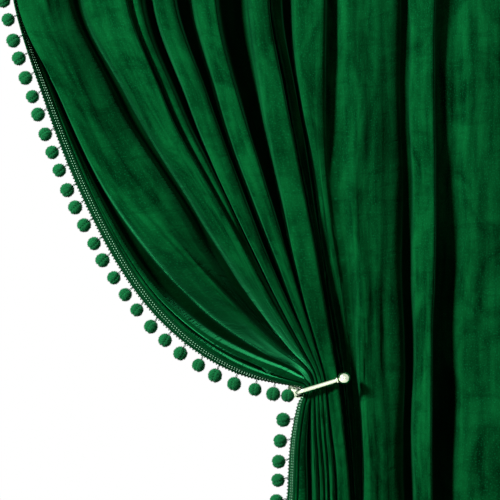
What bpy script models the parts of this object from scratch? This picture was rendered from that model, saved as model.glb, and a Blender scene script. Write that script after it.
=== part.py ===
"""Velvet curtain panel with a pom-pom trim, swept aside by a metal hook holdback.

The origin is the middle of the top edge. +Z is up, the face of the cloth looks to -Y, and +X runs
from the leading edge, on the left, to the fixed side. Metres, with the tables in millimetres.
"""

import math

import bmesh
import bpy
from mathutils import Vector

MM = 0.001

# Cloth
DROP = 2130
CLOTH_THICK = 1.5
FOLD_DEPTH = 56  # from the front of a fold to the back of a valley
NECK_DEPTH = 70  # the same, where the swept folds are packed into the hook
NECK_REACH = 200  # how far from the hook the deepening has mostly gone
HEM_RISE = 235  # how much higher the hem is at the leading edge, which takes the longer way down
NARROWEST_VALLEY = 2.5
LEAST_STEP = 0.3  # between neighbouring corners of a row
SLOPE_STEP = 0.01  # of the leading edge's length, over which its slope is measured
SHARPEST_MITRE = 0.6  # cosine of half the sharpest turn that keeps the full thickness
BORDER_FLOOR = 0.5  # of the gap before the border fold, the part that is the valley's floor

# Trim
BRAID_WIDE = 16
BRAID_THICK = 2
BORDER_WIDE = 18  # the flat border that carries the braid, up to its first bend
BORDER_BEND = 2.5  # how round the border's bend is
BRAID_OVERHANG = 1.5
GAP = 0.3
POM_ROUND = 25
STALK_LONG = 7
STALK_ROUND = 1.6
STALK_ROOT = 1.0  # how far the stalk goes into the braid
POM_PITCH = 36.5
POM_UNEVEN = 2.5
UNEVEN_TURN = 2.3  # radians of unevenness from one pom-pom to the next
POM_SAG = 0.3  # how far a pom-pom hangs down from the line square to the edge
POMS_END_ABOVE_NECK = 30
LAST_PITCH = 26.5  # the last two above the neck are pushed together
POMS_START_BELOW_NECK = 56
POM_HEM_MARGIN = 12
POM_SIDES = 8
POM_RINGS = (60, 120)  # degrees from the stalk, where the ball's two rings of corners lie

# Holdback
ROD_ROUND = 9
STEM_X = -10.5  # the stem runs forward from the wall, past the gathered folds
HOOK_DOWN = 1345  # from the top edge to the stem
ARM_Y = -46.5
ARM_SLOPE = math.radians(17)
ARM_TO_BALL = 87  # from the bend's corner to the middle of the ball
BEND_RADIUS = 12
BALL_ROUND = 23
COLLAR_ROUND = 12.5
COLLAR_LONG = 3.5
WALL_Y = 100
PLATE_ROUND = 36
PLATE_THICK = 6
PLATE_EDGE = 1.5
ROD_SIDES = 20
BEND_STEPS = 8
PLATE_SIDES = 48
BALL_SIDES, BALL_RINGS = 24, 14
SHARP_EDGE = 40  # degrees between faces, above which an edge is shown sharp

# The leading edge from the top to the hook, then from the hook to the hem. x and down are in
# millimetres. turn is the border's, in degrees: 0 faces forward, and plus turns its inner side to
# the back. Rises are 0 at the back of the folds and 1 at the front. The border fold is the small
# fold next to the border: from and to are how far its two rims are from the border's bend.
EDGE_COLUMNS = ("x", "down", "turn", "rise", "from", "to", "valley_rise", "from_rise", "to_rise")
EDGE_ABOVE = (
    (-584, 0, 75, 0.52, 0.7, 1.4, 0.16, 0.12, 0.06),
    (-578, 330, 75, 0.52, 0.7, 1.4, 0.16, 0.12, 0.06),
    (-538, 620, 70, 0.52, 0.7, 1.4, 0.16, 0.12, 0.06),
    (-481, 805, 40, 0.55, 0.8, 2.0, 0.30, 0.26, 0.18),
    (-407, 990, 10, 0.58, 1.0, 6.0, 0.50, 0.50, 0.42),
    (-299, 1175, 0, 0.64, 5.0, 10, 0.40, 0.66, 0.60),
    (-198, 1270, -30, 0.60, 11, 16, 0.20, 0.66, 0.62),
    (-109, 1315, -55, 0.57, 14, 21, 0.20, 0.76, 0.74),
    (-53, 1328, -74, 0.56, 8.0, 19, 0.25, 0.88, 0.90),
    (-18, 1334, -80, 0.56, 4.5, 12, 0.30, 0.94, 0.95),
    (-4, 1336.5, -80, 0.55, 3.8, 8.0, 0.30, 0.95, 0.95),
    (1.5, 1343, -80, 0.55, 3.6, 6.6, 0.30, 0.95, 0.95),
)
EDGE_BELOW = (
    (1.5, 1343, -80, 0.55, 3.6, 6.6, 0.30, 0.95, 0.95),
    (0, 1352, -80, 0.55, 3.6, 7.0, 0.30, 0.94, 0.94),
    (-9, 1370, -68, 0.55, 3.6, 8.5, 0.36, 0.92, 0.92),
    (-24, 1455, -52, 0.60, 4.0, 12, 0.45, 0.88, 0.88),
    (-29, 1547, -45, 0.60, 4.0, 17, 0.50, 0.85, 0.85),
    (-85, DROP - HEM_RISE, -20, 0.60, 8.0, 28, 0.50, 0.85, 0.85),
)

# Where each fold's two rims are, at these distances below the top edge. The neck is where the
# hook crosses the cloth, and has no one height, because the hook's arm slopes.
LEVELS = (0, 620, 805, 990, 1175, 1270, 1310, "neck", 1365, 1547, DROP)
NECK = LEVELS.index("neck")
RIMS = {
    "first fold": (
        (-562, -532, -448, -352, -203, -72, -1, 15, 14, 17, -24),
        (-536, -490, -416, -316, -151, -46, 5, 17, 17, 22.5, -9),
    ),
    "long slope": (
        (-524, -472, -396, -284, -138, -40, 7, 18, 18.2, 25, -6),
        (-487, -437, -353, -240, -119, -32, 9.5, 19.2, 19.5, 28, -3),
    ),
    "broad fold": (
        (-447, -404, -318, -203, -86, -22, 12, 20.5, 21, 31, 0),
        (-371, -329, -260, -166, -61, -8, 16.5, 23.5, 25, 35.5, 14),
    ),
    "ledge": (
        (-360, -315, -246, -152, -57, -5, 17.2, 24, 25.5, 36, 15),
        (-345, -302, -236, -146, -55, -3, 18, 24.5, 26, 37, 17),
    ),
    "third fold": (
        (-314, -277, -213, -137, -51, 1, 21.5, 28, 29, 39.5, 22),
        (-274, -240, -180, -109, -33, 10, 25.5, 31, 33, 43, 34),
    ),
    "fourth fold": (
        (-230, -198, -156, -91, -24, 14, 29, 34.5, 36.5, 47.5, 44),
        (-194, -163, -121, -67, -7, 22, 33, 37.5, 40.5, 55, 58),
    ),
    "last swept fold": (
        (-112, -92, -74, -38, 3, 28, 37, 41, 44, 61.5, 66),
        (-86, -66, -33, -1, 35, 54, 61, 63, 69, 82, 95),
    ),
    "inner flap": (
        (-74, -57, -24, 9, 40, 58, 65, 68, 73, 86, 100),
        (-60, -45, -15, 17, 44, 61, 69, 72, 77, 90, 104),
    ),
    "fading fold": (
        (-24, -18, -2, 27, 53, 71, 77, 79, 84, 97, 110),
        (30, 34, 37, 43, 69, 82, 86, 88, 92, 102, 117),
    ),
    "soft fold": (
        (73, 76, 82, 92, 99, 104, 105, 105, 110, 112, 134),
        (105, 107, 107, 108, 115, 119, 119, 119, 121, 132, 152),
    ),
    "low plane": (
        (148, 148, 148, 148, 148, 148, 148, 148, 150, 156, 171),
        (172, 172, 173, 174, 176, 177, 178, 178, 178, 178, 187),
    ),
    "flat fold": (
        (191, 196, 199, 203, 206, 206, 206, 206, 206, 205, 209),
        (235, 240, 240, 238, 237, 236, 236, 236, 235, 232, 239),
    ),
    "wide fold": (
        (296, 300, 300, 297, 292, 290, 289, 289, 289, 289, 290),
        (378, 383, 384, 385, 385, 387, 387, 387, 387, 387, 391),
    ),
    "side fold": (
        (430, 433, 435, 437, 439, 439, 439, 439, 439, 437, 437),
        (478, 483, 485, 487, 487, 487, 487, 487, 487, 485, 485),
    ),
    "side hem": (
        (526, 529, 530, 531, 532, 532, 532, 532, 532, 531, 531),
        (578, 583, 584, 585, 586, 586, 586, 586, 586, 585, 585),
    ),
}
FIRST_STRAIGHT = "fading fold"

# How far forward each fold's left rim, right rim and the valley before it are, from 0 at the
# back to 1 at the front: near the top, half way, above the neck, at the neck and at the hem.
# The valley's floor has a middle, lean, from 0 at the left of its gap to 1 at the right, and a
# width, floor, as a share of the gap.
TOP, MIDDLE, LOWER, AT_NECK, HEM = range(5)
RISE_AT_LEVEL = (TOP, TOP, TOP, MIDDLE, LOWER, LOWER, LOWER, AT_NECK, AT_NECK, HEM, HEM)
FOLDS = {
    "first fold": {
        "valley": (0.00, 0.00, 0.00, 0.00, 0.25),
        "left": (1.00, 0.92, 0.30, 0.95, 0.95),
        "right": (0.88, 0.94, 1.00, 1.00, 1.00),
        "lean": 0.5,
        "floor": 0.5,
    },
    "long slope": {
        "valley": (0.86, 0.90, 0.92, 0.90, 0.90),
        "left": (0.76, 0.82, 0.50, 0.80, 0.80),
        "right": (0.50, 0.62, 0.12, 0.70, 0.70),
        "lean": 0.5,
        "floor": 0.4,
    },
    "broad fold": {
        "valley": (0.00, 0.04, 0.00, 0.00, 0.30),
        "left": (0.62, 0.62, 0.62, 1.00, 1.00),
        "right": (1.00, 1.00, 1.00, 1.00, 1.00),
        "lean": 0.5,
        "floor": 0.3,
    },
    "ledge": {
        "valley": (0.46, 0.56, 0.86, 0.86, 0.86),
        "left": (0.78, 0.72, 0.62, 0.62, 0.62),
        "right": (0.76, 0.62, 0.40, 0.40, 0.50),
        "lean": 0.3,
        "floor": 0.5,
    },
    "third fold": {
        "valley": (0.00, 0.04, 0.08, 0.00, 0.40),
        "left": (0.94, 1.00, 1.00, 1.00, 1.00),
        "right": (1.00, 1.00, 1.00, 1.00, 1.00),
        "lean": 0.5,
        "floor": 0.5,
    },
    "fourth fold": {
        "valley": (0.00, 0.00, 0.00, 0.00, 0.40),
        "left": (0.82, 0.92, 0.95, 1.00, 1.00),
        "right": (1.00, 1.00, 1.00, 1.00, 1.00),
        "lean": 0.35,
        "floor": 0.5,
    },
    "last swept fold": {
        "valley": (0.00, 0.00, 0.00, 0.00, 0.40),
        "left": (1.00, 1.00, 1.00, 1.00, 1.00),
        "right": (1.00, 1.00, 1.00, 1.00, 1.00),
        "lean": 0.4,
        "floor": 0.6,
    },
    "inner flap": {
        "valley": (0.00, 0.00, 0.00, 0.00, 0.00),
        "left": (0.56, 0.34, 0.12, 0.10, 0.10),
        "right": (0.58, 0.32, 0.10, 0.08, 0.08),
        "lean": 0.4,
        "floor": 0.5,
    },
    "fading fold": {
        "valley": (0.00, 0.02, 0.05, 0.05, 0.05),
        "left": (0.86, 0.58, 0.42, 0.28, 0.20),
        "right": (0.92, 0.60, 0.48, 0.30, 0.22),
        "lean": 0.4,
        "floor": 0.5,
    },
    "soft fold": {
        "valley": (0.40, 0.45, 0.40, 0.30, 0.22),
        "left": (0.84, 0.86, 0.86, 0.86, 0.86),
        "right": (0.84, 0.82, 0.82, 0.82, 0.82),
        "lean": 0.4,
        "floor": 0.5,
    },
    "low plane": {
        "valley": (0.73, 0.72, 0.74, 0.74, 0.74),
        "left": (0.62, 0.60, 0.62, 0.64, 0.64),
        "right": (0.52, 0.48, 0.50, 0.52, 0.52),
        "lean": 0.5,
        "floor": 0.4,
    },
    "flat fold": {
        "valley": (0.20, 0.08, 0.00, 0.00, 0.00),
        "left": (0.66, 0.66, 0.66, 0.66, 0.66),
        "right": (1.00, 1.00, 1.00, 1.00, 1.00),
        "lean": 0.6,
        "floor": 0.5,
    },
    "wide fold": {
        "valley": (0.52, 0.44, 0.16, 0.06, 0.06),
        "left": (0.84, 0.76, 0.62, 0.60, 0.60),
        "right": (0.76, 0.76, 0.74, 0.74, 0.74),
        "lean": 0.42,
        "floor": 0.7,
    },
    "side fold": {
        "valley": (0.05, 0.10, 0.10, 0.10, 0.05),
        "left": (0.92, 0.92, 0.92, 0.92, 0.92),
        "right": (0.98, 0.98, 0.98, 0.98, 0.98),
        "lean": 0.5,
        "floor": 0.5,
    },
    "side hem": {
        "valley": (0.05, 0.08, 0.08, 0.08, 0.05),
        "left": (0.80, 0.80, 0.80, 0.80, 0.80),
        "right": (0.58, 0.58, 0.58, 0.58, 0.58),
        "lean": 0.5,
        "floor": 0.5,
    },
}

# The cross rows of the solid, as shares of the way from the top to the neck and on to the hem
ROWS_ABOVE = (0, 0.13, 0.29, 0.43, 0.55, 0.65, 0.73, 0.80, 0.86, 0.91, 0.945, 0.97, 0.985, 0.993, 1)
ROWS_BELOW = (0.02, 0.05, 0.12, 0.24, 0.42, 0.68, 1)

MATERIALS = {
    "velvet": {"color": (0.003, 0.085, 0.022, 1), "roughness": 0.75, "metallic": 0.0},
    "pompom_trim": {"color": (0.012, 0.150, 0.055, 1), "roughness": 0.95, "metallic": 0.0},
    "holdback_metal": {"color": (0.620, 0.680, 0.560, 1), "roughness": 0.22, "metallic": 1.0},
}


def through(knots, values, at):
    """A smooth curve through values at knots that never overshoots them, read at one place."""
    last = len(knots) - 1
    steps = [knots[i + 1] - knots[i] for i in range(last)]
    slopes = [(values[i + 1] - values[i]) / steps[i] for i in range(last)]
    tangents = [slopes[0]]
    for before, after in zip(slopes, slopes[1:]):
        same_way = before * after > 0
        tangents.append(2 * before * after / (before + after) if same_way else 0.0)
    tangents.append(slopes[-1])
    i = min(max(sum(knot <= at for knot in knots) - 1, 0), last - 1)
    t = (at - knots[i]) / steps[i]
    start = values[i] * (1 + 2 * t) * (1 - t) ** 2 + tangents[i] * steps[i] * t * (1 - t) ** 2
    end = values[i + 1] * t * t * (3 - 2 * t) + tangents[i + 1] * steps[i] * t * t * (t - 1)
    return start + end


def route_knots(points):
    """How far along the route each of its (x, down) points is."""
    knots = [0.0]
    for (x0, down0), (x1, down1) in zip(points, points[1:]):
        knots.append(knots[-1] + math.hypot(x1 - x0, down1 - down0))
    return knots


def arm_down(x):
    """How far below the top edge the hook's arm is, over this x."""
    return HOOK_DOWN - math.tan(ARM_SLOPE) * (x - STEM_X)


def depth_y(rise, depth):
    return depth * (0.5 - rise)


def hem_down(x):
    """The hem is level under the straight folds and rises to the leading edge."""
    swept_from = RIMS[FIRST_STRAIGHT][0][-1]
    swept_to = EDGE_BELOW[-1][0]
    share = min(max((x - swept_from) / (swept_to - swept_from), 0.0), 1.0)
    return DROP - HEM_RISE * share


def rim_point(name, side, above, share):
    """A point on one rim of a fold, above or below the neck, this share of the way down."""
    xs = RIMS[name][0 if side == "left" else 1]
    rises = [FOLDS[name][side][column] for column in RISE_AT_LEVEL]
    swept = list(RIMS).index(name) < list(RIMS).index(FIRST_STRAIGHT)
    neck_x = xs[NECK] if swept else RIMS["inner flap"][1][NECK]
    downs = list(LEVELS)
    downs[NECK] = arm_down(neck_x)
    downs[-1] = hem_down(xs[-1])
    part = slice(0, NECK + 1) if above else slice(NECK, None)
    route = list(zip(xs, downs))[part]
    knots = route_knots(route)
    at = share * knots[-1]
    x = through(knots, [point[0] for point in route], at)
    down = through(knots, [point[1] for point in route], at)
    rise = through(knots, rises[part], at)
    return Vector((x, depth_y(rise, depth_at(down, swept)), -down))


def depth_at(down, swept):
    """Folds are FOLD_DEPTH deep, and deepen to NECK_DEPTH where the swept ones meet the hook."""
    if not swept:
        return FOLD_DEPTH
    near_neck = math.exp(-(((down - HOOK_DOWN) / NECK_REACH) ** 2))
    return FOLD_DEPTH + (NECK_DEPTH - FOLD_DEPTH) * near_neck


def border_points(above, share):
    """The border, from the leading edge to its bend, and the small fold next to it."""
    table = EDGE_ABOVE if above else EDGE_BELOW
    knots = route_knots([row[:2] for row in table])
    at = share * knots[-1]
    here = {
        column: through(knots, [row[c] for row in table], at)
        for c, column in enumerate(EDGE_COLUMNS)
    }
    step = SLOPE_STEP * knots[-1]
    near, far = max(at - step, 0.0), min(at + step, knots[-1])
    xs, downs = [row[0] for row in table], [row[1] for row in table]
    run_x = through(knots, xs, far) - through(knots, xs, near)
    run_down = through(knots, downs, far) - through(knots, downs, near)
    inward = Vector((run_down, 0, run_x)).normalized()
    turn = math.radians(here["turn"])
    across = inward * math.cos(turn) + Vector((0, math.sin(turn), 0))
    depth = depth_at(here["down"], True)
    edge = Vector((here["x"], depth_y(here["rise"], depth), -here["down"]))
    bend = edge + across * BORDER_WIDE
    after_bend = bend + inward * BORDER_BEND
    rims = []
    for side in ("from", "to"):
        rim = after_bend + inward * here[side]
        rim.y = depth_y(here[side + "_rise"], depth)
        rims.append(rim)
    floor_y = depth_y(here["valley_rise"], depth)
    floor = valley_floor(after_bend, rims[0], 0.5, BORDER_FLOOR, floor_y)
    return [edge, edge + across * BRAID_WIDE, bend, after_bend, *floor, *rims]


def valley_floor(before, after, lean, share, y):
    """The two corners of the floor of the valley between two rims."""
    gap = after - before
    hollow = min(max((y - max(before.y, after.y)) / NARROWEST_VALLEY, 0.0), 1.0)
    along = Vector((gap.x, 0, gap.z))
    wide = max(share * along.length, NARROWEST_VALLEY * hollow)
    way = along.normalized() if gap.x > NARROWEST_VALLEY else Vector((1, 0, 0))
    start = max(lean * along.length - wide / 2, LEAST_STEP)
    left = before + way * start
    left.y = y
    return left, left + way * wide


def valley_points(before, after, name, above, share):
    """The floor of the valley before this fold."""
    rises = [FOLDS[name]["valley"][column] for column in RISE_AT_LEVEL]
    part = slice(0, NECK + 1) if above else slice(NECK, None)
    rise = through(range(len(rises[part])), rises[part], share_to_level(above, share))
    swept = list(RIMS).index(name) <= list(RIMS).index(FIRST_STRAIGHT)
    y = depth_y(rise, depth_at(-before.z, swept))
    return valley_floor(before, after, FOLDS[name]["lean"], FOLDS[name]["floor"], y)


def share_to_level(above, share):
    """The place in LEVELS that a share of the way down a straight fold comes to."""
    downs = [arm_down(0) if level == "neck" else level for level in LEVELS]
    part = downs[: NECK + 1] if above else downs[NECK:]
    down = part[0] + share * (part[-1] - part[0])
    for i, (upper, lower) in enumerate(zip(part, part[1:])):
        if down <= lower:
            return i + (down - upper) / (lower - upper)
    return len(part) - 1


def cross_row(above, share):
    """The middle of the cloth's thickness, fold by fold, along one cross row."""
    row = border_points(above, share)
    for name in RIMS:
        left = rim_point(name, "left", above, share)
        right = rim_point(name, "right", above, share)
        row += valley_points(row[-1], left, name, above, share)
        row += [left, right]
    return row


def cloth_rows():
    above = [cross_row(True, share) for share in ROWS_ABOVE]
    return above + [cross_row(False, share) for share in ROWS_BELOW]


def face_normals(rows):
    """At each point, the way out of the cloth's face, longer at a bend to keep the thickness."""
    normals = []
    for r, row in enumerate(rows):
        down_to, up_to = rows[min(r + 1, len(rows) - 1)], rows[max(r - 1, 0)]
        line = []
        for c, point in enumerate(row):
            run = down_to[c] - up_to[c]
            sides = []
            if c > 0:
                sides.append(run.cross(point - row[c - 1]).normalized())
            if c < len(row) - 1:
                sides.append(run.cross(row[c + 1] - point).normalized())
            together = sum(sides, Vector())
            mean = together.normalized()
            line.append(mean / max(mean.dot(sides[0]), SHARPEST_MITRE))
        normals.append(line)
    return normals


def object_from(mesh, name, material):
    """A new object of this bmesh, in metres, in the scene."""
    bmesh.ops.recalc_face_normals(mesh, faces=mesh.faces)
    data = bpy.data.meshes.new(name)
    mesh.to_mesh(data)
    mesh.free()
    data.transform(((MM, 0, 0, 0), (0, MM, 0, 0), (0, 0, MM, 0), (0, 0, 0, 1)))
    data.materials.append(material_called(material))
    piece = bpy.data.objects.new(name, data)
    bpy.context.scene.collection.objects.link(piece)
    return piece


def material_called(name):
    material = bpy.data.materials.get(name)
    if material is None:
        finish = MATERIALS[name]
        material = bpy.data.materials.new(name)
        material.use_nodes = True
        shader = material.node_tree.nodes["Principled BSDF"]
        shader.inputs["Base Color"].default_value = finish["color"]
        shader.inputs["Roughness"].default_value = finish["roughness"]
        shader.inputs["Metallic"].default_value = finish["metallic"]
    return material


def slab(mesh, front, back):
    """A closed sheet between two grids of points."""
    grids = [[[mesh.verts.new(p) for p in row] for row in grid] for grid in (front, back)]
    rows, columns = len(front), len(front[0])
    for near in grids:
        for r in range(rows - 1):
            for c in range(columns - 1):
                mesh.faces.new((near[r][c], near[r][c + 1], near[r + 1][c]))
                mesh.faces.new((near[r][c + 1], near[r + 1][c + 1], near[r + 1][c]))
    ring = [(0, c) for c in range(columns)]
    ring += [(r, columns - 1) for r in range(1, rows)]
    ring += [(rows - 1, c) for c in range(columns - 2, -1, -1)]
    ring += [(r, 0) for r in range(rows - 2, 0, -1)]
    for (r0, c0), (r1, c1) in zip(ring, ring[1:] + ring[:1]):
        mesh.faces.new((grids[0][r0][c0], grids[0][r1][c1], grids[1][r1][c1], grids[1][r0][c0]))


def make_panel(rows, normals):
    """The velvet panel: one sheet, CLOTH_THICK thick, with its hems in it."""
    half = CLOTH_THICK / 2
    pairs = [list(zip(row, line)) for row, line in zip(rows, normals)]
    front = [[point + normal * half for point, normal in row] for row in pairs]
    back = [[point - normal * half for point, normal in row] for row in pairs]
    mesh = bmesh.new()
    slab(mesh, front, back)
    return object_from(mesh, "velvet_panel", "velvet")


def make_braid(rows, normals):
    """The braid, on the face of the border, its outer side just past the cloth's edge."""
    inner, outer = [], []
    lift = CLOTH_THICK / 2 + GAP
    for row, line in zip(rows, normals):
        under = [point + normal * lift for point, normal in zip(row[:2], line)]
        under.insert(0, under[0] + (under[0] - under[1]).normalized() * BRAID_OVERHANG)
        up = [line[0], line[0], line[1]]
        inner.append(under)
        outer.append([point + normal * BRAID_THICK for point, normal in zip(under, up)])
    mesh = bmesh.new()
    slab(mesh, outer, inner)
    middle = [(near[0] + far[0]) / 2 for near, far in zip(inner, outer)]
    return object_from(mesh, "pompom_trim", "pompom_trim"), middle


def pom_places(line, neck):
    """Where the pom-poms hang along the braid's outer side, none of them at the hook."""
    lengths = [0.0]
    for a, b in zip(line, line[1:]):
        lengths.append(lengths[-1] + (b - a).length)
    places = []
    at = lengths[neck] - POMS_END_ABOVE_NECK
    places.append(at)
    at -= LAST_PITCH
    while at > POM_PITCH / 2:
        places.append(at)
        at -= POM_PITCH + POM_UNEVEN * math.sin(UNEVEN_TURN * len(places))
    at = lengths[neck] + POMS_START_BELOW_NECK
    while at < lengths[-1] - POM_HEM_MARGIN:
        places.append(at)
        at += POM_PITCH + POM_UNEVEN * math.sin(UNEVEN_TURN * len(places))
    found = []
    for at in places:
        i = max(i for i, length in enumerate(lengths[:-1]) if length <= at)
        run = line[i + 1] - line[i]
        start = line[i] + run * ((at - lengths[i]) / (lengths[i + 1] - lengths[i]))
        outward = Vector((run.z, 0, -run.x)).normalized()
        way = (outward + Vector((0, 0, -POM_SAG))).normalized()
        found.append((start, way))
    return found


def add_pom(mesh, start, way):
    """One pom-pom: a thin stalk and a ball, turned about the stalk's line."""
    side = way.cross(Vector((0, 1, 0))).normalized()
    forward = way.cross(side)
    ball = POM_ROUND / 2
    middle = STALK_LONG + ball
    profile = [(-STALK_ROOT, STALK_ROUND / 2)]
    into_ball = middle - math.sqrt(ball**2 - (STALK_ROUND / 2) ** 2)
    profile.append((into_ball, STALK_ROUND / 2))
    for angle in POM_RINGS:
        turn = math.radians(angle)
        profile.append((middle - ball * math.cos(turn), ball * math.sin(turn)))
    rings = []
    for along, radius in profile:
        ring = []
        for k in range(POM_SIDES):
            angle = 2 * math.pi * k / POM_SIDES
            spoke = side * math.cos(angle) + forward * math.sin(angle)
            ring.append(mesh.verts.new(start + way * along + spoke * radius))
        rings.append(ring)
    tip = mesh.verts.new(start + way * (middle + ball))
    mesh.faces.new(rings[0])
    for upper, lower in zip(rings, rings[1:]):
        for k in range(POM_SIDES):
            after = (k + 1) % POM_SIDES
            mesh.faces.new((upper[k], upper[after], lower[after], lower[k]))
    for k in range(POM_SIDES):
        mesh.faces.new((rings[-1][k], rings[-1][(k + 1) % POM_SIDES], tip))


def make_trim(rows, normals):
    """The whole trim as one comb: the braid joined to each of its pom-poms."""
    braid, line = make_braid(rows, normals)
    mesh = bmesh.new()
    for start, way in pom_places(line, len(ROWS_ABOVE) - 1):
        add_pom(mesh, start, way)
    poms = object_from(mesh, "poms_to_join", "pompom_trim")
    poms.hide_render = True
    poms.display_type = "WIRE"
    join = braid.modifiers.new("join pom-poms", "BOOLEAN")
    join.operation = "UNION"
    join.object = poms
    return braid


def tube(mesh, line, ways, radius, sides=ROD_SIDES):
    """A round bar along a line, with a flat end at each end."""
    rings = []
    for point, way in zip(line, ways):
        side = way.cross(Vector((math.sin(ARM_SLOPE), 0, -math.cos(ARM_SLOPE)))).normalized()
        up = side.cross(way)
        ring = []
        for k in range(sides):
            angle = 2 * math.pi * k / sides
            spoke = side * math.cos(angle) + up * math.sin(angle)
            ring.append(mesh.verts.new(point + spoke * radius))
        rings.append(ring)
    mesh.faces.new(rings[0])
    mesh.faces.new(rings[-1])
    for near, far in zip(rings, rings[1:]):
        for k in range(sides):
            after = (k + 1) % sides
            mesh.faces.new((near[k], near[after], far[after], far[k]))


def arm_way():
    return Vector((math.cos(ARM_SLOPE), 0, math.sin(ARM_SLOPE)))


def bend_corner():
    return Vector((STEM_X, ARM_Y, -HOOK_DOWN))


def make_plate():
    """The round plate that screws to the wall, with its front edge eased."""
    mesh = bmesh.new()
    bmesh.ops.create_cone(
        mesh,
        cap_ends=True,
        segments=PLATE_SIDES,
        radius1=PLATE_ROUND / 2,
        radius2=PLATE_ROUND / 2 - PLATE_EDGE,
        depth=PLATE_EDGE,
    )
    rim = [v for v in mesh.verts if v.co.z < 0]
    base = [f for f in mesh.faces if all(v in rim for v in f.verts)]
    wall_side = bmesh.ops.extrude_face_region(mesh, geom=base)["geom"]
    bmesh.ops.delete(mesh, geom=base, context="FACES")
    moved = [v for v in wall_side if isinstance(v, bmesh.types.BMVert)]
    bmesh.ops.translate(mesh, verts=moved, vec=(0, 0, PLATE_EDGE - PLATE_THICK))
    for vert in mesh.verts:
        up = vert.co.z + PLATE_THICK - PLATE_EDGE / 2
        vert.co = Vector((STEM_X + vert.co.x, WALL_Y - up, -HOOK_DOWN + vert.co.y))
    return object_from(mesh, "holdback_plate", "holdback_metal")


def make_rod():
    """One bar: from the plate forward past the cloth's edge, then bent across its front."""
    corner, arm = bend_corner(), arm_way()
    forward = Vector((0, -1, 0))
    end = ARM_TO_BALL - BALL_ROUND / 2 - COLLAR_LONG - GAP
    line = [Vector((STEM_X, WALL_Y - PLATE_THICK - GAP, -HOOK_DOWN))]
    ways = [forward]
    middle = corner - forward * BEND_RADIUS + arm * BEND_RADIUS
    for step in range(BEND_STEPS + 1):
        turn = math.pi / 2 * step / BEND_STEPS
        line.append(middle - arm * BEND_RADIUS * math.cos(turn) + forward * BEND_RADIUS * math.sin(turn))
        ways.append(forward * math.cos(turn) + arm * math.sin(turn))
    line.append(corner + arm * end)
    ways.append(arm)
    mesh = bmesh.new()
    tube(mesh, line, ways, ROD_ROUND / 2)
    return object_from(mesh, "holdback_rod", "holdback_metal")


def make_collar():
    """The ring that hides the joint between the rod and the ball."""
    corner, arm = bend_corner(), arm_way()
    start = corner + arm * (ARM_TO_BALL - BALL_ROUND / 2 - COLLAR_LONG)
    mesh = bmesh.new()
    tube(mesh, [start, start + arm * (COLLAR_LONG - GAP)], [arm, arm], COLLAR_ROUND / 2)
    return object_from(mesh, "holdback_collar", "holdback_metal")


def make_ball():
    """The ball on the end of the rod."""
    center = bend_corner() + arm_way() * ARM_TO_BALL
    mesh = bmesh.new()
    bmesh.ops.create_uvsphere(mesh, u_segments=BALL_SIDES, v_segments=BALL_RINGS, radius=BALL_ROUND / 2)
    bmesh.ops.translate(mesh, verts=mesh.verts, vec=center)
    return object_from(mesh, "holdback_ball", "holdback_metal")


def shade_round(piece):
    piece.data.shade_smooth()
    piece.data.set_sharp_from_angle(angle=math.radians(SHARP_EDGE))


def main():
    for old in list(bpy.data.objects):
        bpy.data.objects.remove(old, do_unlink=True)
    rows = cloth_rows()
    normals = face_normals(rows)
    make_panel(rows, normals)
    make_trim(rows, normals)
    make_plate()
    for piece in (make_rod(), make_collar(), make_ball()):
        shade_round(piece)


main()
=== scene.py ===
# %% [markdown]
# # A velvet curtain held back by a metal hook
#
# The real thing is one long panel of green velvet. Its leading edge carries a braid with yarn
# pom-poms, and a metal arm with a ball on its end holds that half back against the wall. The
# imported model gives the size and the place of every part, so it is loaded first and never moved.

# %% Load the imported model
import math
import random
from collections import namedtuple
from itertools import accumulate

import bmesh
import bpy
from mathutils import Matrix, Vector, noise


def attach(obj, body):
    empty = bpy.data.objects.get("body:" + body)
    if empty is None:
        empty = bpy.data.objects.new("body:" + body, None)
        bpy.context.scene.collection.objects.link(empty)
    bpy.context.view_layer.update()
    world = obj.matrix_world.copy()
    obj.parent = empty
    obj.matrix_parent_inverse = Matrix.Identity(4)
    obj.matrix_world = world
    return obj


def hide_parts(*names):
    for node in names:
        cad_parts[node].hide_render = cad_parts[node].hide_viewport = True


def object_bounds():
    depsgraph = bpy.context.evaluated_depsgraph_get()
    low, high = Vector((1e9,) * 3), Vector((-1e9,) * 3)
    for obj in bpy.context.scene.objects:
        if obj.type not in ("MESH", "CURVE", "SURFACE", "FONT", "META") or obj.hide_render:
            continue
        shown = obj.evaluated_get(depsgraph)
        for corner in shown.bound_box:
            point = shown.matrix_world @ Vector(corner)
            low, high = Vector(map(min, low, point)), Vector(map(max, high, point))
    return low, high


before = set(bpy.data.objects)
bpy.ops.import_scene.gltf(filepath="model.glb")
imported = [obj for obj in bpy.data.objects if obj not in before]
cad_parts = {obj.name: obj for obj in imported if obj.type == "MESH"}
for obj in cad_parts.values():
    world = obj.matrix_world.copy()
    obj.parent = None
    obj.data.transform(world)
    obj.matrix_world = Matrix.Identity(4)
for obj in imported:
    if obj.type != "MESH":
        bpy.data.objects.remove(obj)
cad_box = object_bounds()
print("parts:", sorted(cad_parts))
print("size in metres:", [round(high - low, 3) for low, high in zip(*cad_box)])

# %% [markdown]
# ## The camera
#
# A long lens from straight in front keeps the folds upright and parallel, as the eye sees a
# curtain from across a room. The camera looks at the part of the curtain round the hook, which
# is where the cloth does the most. It comes first because everything later is judged through it.

# %% Camera
VIEW_MIDDLE = Vector((-0.100, 0.0, -1.0845))
VIEW_WIDE = 0.925
CAMERA_AWAY = 6.0


def put(name, data):
    """A new object with this data, in the scene."""
    thing = bpy.data.objects.new(name, data)
    bpy.context.scene.collection.objects.link(thing)
    return thing


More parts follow.
